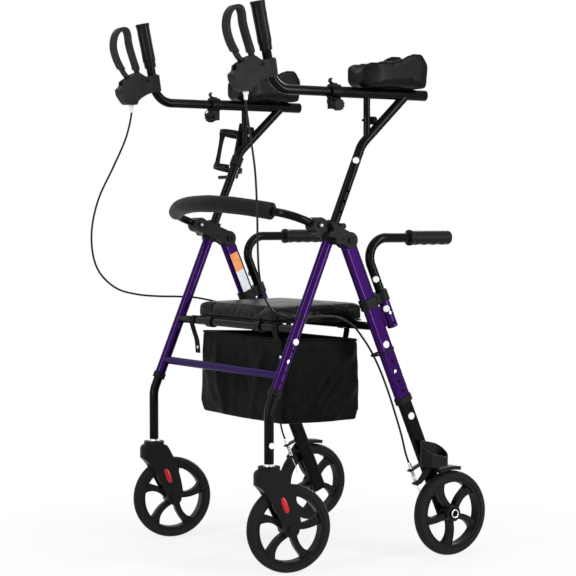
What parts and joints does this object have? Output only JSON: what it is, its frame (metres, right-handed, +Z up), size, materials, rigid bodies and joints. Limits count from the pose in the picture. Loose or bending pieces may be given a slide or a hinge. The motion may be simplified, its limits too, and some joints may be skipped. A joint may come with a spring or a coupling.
{
  "type": "walker",
  "caption": "Folding upright walker with forearm rests, spoked wheels, loop brakes, a padded seat and a bag under it",
  "frame": {"origin": "on the floor, midway between the two sides and under the frame", "axes": "-Y is the way the walker travels, +X is its left side, +Z is up"},
  "size_m": [0.7019, 0.7537, 1.275],
  "materials": {
    "purple_paint": "gloss candy purple paint",
    "black_paint": "gloss black paint",
    "black_moulding": "fine grained moulding",
    "rim_plastic": "dark grey spoked moulding",
    "tyre_rubber": "solid soft tyre",
    "foam": "closed cell foam",
    "vinyl": "coated vinyl over foam",
    "nylon": "woven nylon",
    "grip_rubber": "moulded grip rubber",
    "cable_jacket": "smooth cable jacket",
    "bright_steel": "bright plated steel"
  },
  "bodies": {
    "front_frame": {"front_frame": "purple_paint", "front_collars": "black_moulding", "hinge_brackets": "black_moulding", "hinge_pins": "black_paint", "backrest_tube": "black_paint", "backrest_foam": "foam", "seat_bar": "black_paint", "bag": "nylon", "brake_cables": "cable_jacket"},
    "seat": {"seat_pan": "black_moulding", "seat_cushion": "vinyl"},
    "rear_frame": {"rear_frame": "purple_paint", "rear_seat_bar": "black_paint", "rear_collars": "black_moulding"},
    "star_knob_left": {"star_knob_left": "black_moulding"},
    "front_leg_left": {"front_leg_left": "black_paint"},
    "front_button_left": {"front_button_left": "bright_steel"},
    "caster_left": {"caster_fork_left": "black_moulding"},
    "front_wheel_left": {"front_rim_left": "rim_plastic", "front_tyre_left": "tyre_rubber"},
    "rear_leg_left": {"rear_leg_left": "black_paint", "brake_spring_left": "bright_steel", "cane_cup": "black_moulding"},
    "rear_button_left": {"rear_button_left": "bright_steel"},
    "rear_wheel_left": {"rear_rim_left": "rim_plastic", "rear_tyre_left": "tyre_rubber"},
    "rear_handle_left": {"rear_handle_left": "black_paint", "rear_grip_left": "grip_rubber"},
    "handle_button_left": {"handle_button_left": "bright_steel"},
    "upright_left": {"upright_left": "black_paint", "arm_pad_left": "vinyl"},
    "clamp_knob_left": {"clamp_knob_left": "black_moulding"},
    "handle_left": {"handle_tube_left": "black_paint", "hand_grip_left": "grip_rubber", "brake_housing_left": "black_moulding"},
    "brake_lever_left": {"brake_lever_left": "black_moulding"},
    "brake_arm_left": {"brake_arm_left": "black_moulding"},
    "star_knob_right": {"star_knob_right": "black_moulding"},
    "front_leg_right": {"front_leg_right": "black_paint"},
    "front_button_right": {"front_button_right": "bright_steel"},
    "caster_right": {"caster_fork_right": "black_moulding"},
    "front_wheel_right": {"front_rim_right": "rim_plastic", "front_tyre_right": "tyre_rubber"},
    "rear_leg_right": {"rear_leg_right": "black_paint", "brake_spring_right": "bright_steel"},
    "rear_button_right": {"rear_button_right": "bright_steel"},
    "rear_wheel_right": {"rear_rim_right": "rim_plastic", "rear_tyre_right": "tyre_rubber"},
    "rear_handle_right": {"rear_handle_right": "black_paint", "rear_grip_right": "grip_rubber"},
    "handle_button_right": {"handle_button_right": "bright_steel"},
    "upright_right": {"upright_right": "black_paint", "arm_pad_right": "vinyl", "cup_holder": "black_moulding"},
    "clamp_knob_right": {"clamp_knob_right": "black_moulding"},
    "handle_right": {"handle_tube_right": "black_paint", "hand_grip_right": "grip_rubber", "brake_housing_right": "black_moulding"},
    "brake_lever_right": {"brake_lever_right": "black_moulding"},
    "brake_arm_right": {"brake_arm_right": "black_moulding"}
  },
  "joints": [
    {"name": "fold", "type": "hinge", "parent": "front_frame", "child": "rear_frame", "pos_m": [0, -0.05965, 0.744], "axis": [-1, 0, 0], "range_deg": [0, 19], "deforming": ["brake_cables"]},
    {"name": "seat_flip", "type": "hinge", "parent": "front_frame", "child": "seat", "pos_m": [0, -0.19293, 0.544], "axis": [1, 0, 0], "range_deg": [0, 75]},
    {"name": "star_knob_turn_left", "type": "hinge", "parent": "front_frame", "child": "star_knob_left", "pos_m": [0.274, -0.10188, 0.76167], "axis": [1, 0, 0], "continuous": true},
    {"name": "front_leg_height_left", "type": "slide", "parent": "front_frame", "child": "front_leg_left", "axis": [0, -0.3859, -0.9225], "range_m": [-0.025, 0.05]},
    {"name": "front_button_press_left", "type": "slide", "parent": "front_leg_left", "child": "front_button_left", "axis": [-1, 0, 0], "range_m": [0, 0.0045], "stiffness_N_per_m": 500, "springref_m": -0.002},
    {"name": "caster_swivel_left", "type": "hinge", "parent": "front_leg_left", "child": "caster_left", "pos_m": [0.274, -0.2665, 0.2], "axis": [0, 0, 1], "continuous": true},
    {"name": "front_wheel_spin_left", "type": "hinge", "parent": "caster_left", "child": "front_wheel_left", "pos_m": [0.28216, -0.22021, 0.1], "axis": [0.9848, -0.1736, 0], "continuous": true},
    {"name": "rear_leg_height_left", "type": "slide", "parent": "rear_frame", "child": "rear_leg_left", "axis": [0, 0.3955, -0.9184], "range_m": [-0.025, 0.05]},
    {"name": "rear_button_press_left", "type": "slide", "parent": "rear_leg_left", "child": "rear_button_left", "axis": [-1, 0, 0], "range_m": [0, 0.0045], "stiffness_N_per_m": 500, "springref_m": -0.002},
    {"name": "rear_wheel_spin_left", "type": "hinge", "parent": "rear_leg_left", "child": "rear_wheel_left", "pos_m": [0.3001, 0.2177, 0.1], "axis": [1, 0, 0], "continuous": true},
    {"name": "rear_handle_height_left", "type": "slide", "parent": "rear_frame", "child": "rear_handle_left", "axis": [0, -0.3955, 0.9184], "range_m": [-0.025, 0.025]},
    {"name": "handle_button_press_left", "type": "slide", "parent": "rear_handle_left", "child": "handle_button_left", "axis": [-1, 0, 0], "range_m": [0, 0.0045], "stiffness_N_per_m": 500, "springref_m": -0.002},
    {"name": "upright_height_left", "type": "slide", "parent": "front_frame", "child": "upright_left", "axis": [0, 0.3859, 0.9225], "range_m": [-0.05, 0.05]},
    {"name": "clamp_knob_turn_left", "type": "hinge", "parent": "upright_left", "child": "clamp_knob_left", "pos_m": [0.274, -0.094, 1.05], "axis": [1, 0, 0], "continuous": true},
    {"name": "handle_reach_left", "type": "slide", "parent": "upright_left", "child": "handle_left", "axis": [0, -1, 0], "range_m": [-0.04, 0.05]},
    {"name": "brake_squeeze_left", "type": "hinge", "parent": "handle_left", "child": "brake_lever_left", "pos_m": [0.274, -0.291, 1.132], "axis": [-1, 0, 0], "range_deg": [0, 10.5], "stiffness_Nm_per_rad": 3, "springref_deg": -5.73},
    {"name": "brake_arm_pull_left", "type": "hinge", "parent": "rear_leg_left", "child": "brake_arm_left", "pos_m": [0.274, 0.16944, 0.21205], "axis": [-1, 0, 0], "range_deg": [0, 2.25], "deforming": ["brake_spring_left"]},
    {"name": "star_knob_turn_right", "type": "hinge", "parent": "front_frame", "child": "star_knob_right", "pos_m": [-0.274, -0.10188, 0.76167], "axis": [1, 0, 0], "continuous": true},
    {"name": "front_leg_height_right", "type": "slide", "parent": "front_frame", "child": "front_leg_right", "axis": [0, -0.3859, -0.9225], "range_m": [-0.025, 0.05]},
    {"name": "front_button_press_right", "type": "slide", "parent": "front_leg_right", "child": "front_button_right", "axis": [1, 0, 0], "range_m": [0, 0.0045], "stiffness_N_per_m": 500, "springref_m": -0.002},
    {"name": "caster_swivel_right", "type": "hinge", "parent": "front_leg_right", "child": "caster_right", "pos_m": [-0.274, -0.2665, 0.2], "axis": [0, 0, 1], "continuous": true},
    {"name": "front_wheel_spin_right", "type": "hinge", "parent": "caster_right", "child": "front_wheel_right", "pos_m": [-0.26584, -0.22021, 0.1], "axis": [0.9848, -0.1736, 0], "continuous": true},
    {"name": "rear_leg_height_right", "type": "slide", "parent": "rear_frame", "child": "rear_leg_right", "axis": [0, 0.3955, -0.9184], "range_m": [-0.025, 0.05]},
    {"name": "rear_button_press_right", "type": "slide", "parent": "rear_leg_right", "child": "rear_button_right", "axis": [1, 0, 0], "range_m": [0, 0.0045], "stiffness_N_per_m": 500, "springref_m": -0.002},
    {"name": "rear_wheel_spin_right", "type": "hinge", "parent": "rear_leg_right", "child": "rear_wheel_right", "pos_m": [-0.3001, 0.2177, 0.1], "axis": [1, 0, 0], "continuous": true},
    {"name": "rear_handle_height_right", "type": "slide", "parent": "rear_frame", "child": "rear_handle_right", "axis": [0, -0.3955, 0.9184], "range_m": [-0.025, 0.025]},
    {"name": "handle_button_press_right", "type": "slide", "parent": "rear_handle_right", "child": "handle_button_right", "axis": [1, 0, 0], "range_m": [0, 0.0045], "stiffness_N_per_m": 500, "springref_m": -0.002},
    {"name": "upright_height_right", "type": "slide", "parent": "front_frame", "child": "upright_right", "axis": [0, 0.3859, 0.9225], "range_m": [-0.05, 0.05]},
    {"name": "clamp_knob_turn_right", "type": "hinge", "parent": "upright_right", "child": "clamp_knob_right", "pos_m": [-0.274, -0.094, 1.05], "axis": [1, 0, 0], "continuous": true},
    {"name": "handle_reach_right", "type": "slide", "parent": "upright_right", "child": "handle_right", "axis": [0, -1, 0], "range_m": [-0.04, 0.05]},
    {"name": "brake_squeeze_right", "type": "hinge", "parent": "handle_right", "child": "brake_lever_right", "pos_m": [-0.274, -0.291, 1.132], "axis": [-1, 0, 0], "range_deg": [0, 10.5], "stiffness_Nm_per_rad": 3, "springref_deg": -5.73},
    {"name": "brake_arm_pull_right", "type": "hinge", "parent": "rear_leg_right", "child": "brake_arm_right", "pos_m": [-0.274, 0.16944, 0.21205], "axis": [-1, 0, 0], "range_deg": [0, 2.25], "deforming": ["brake_spring_right"]}
  ],
  "couplings": [
    {"joint": "brake_arm_pull_left", "follows": "brake_squeeze_left", "ratio": 0.214},
    {"joint": "brake_arm_pull_right", "follows": "brake_squeeze_right", "ratio": 0.214}
  ]
}
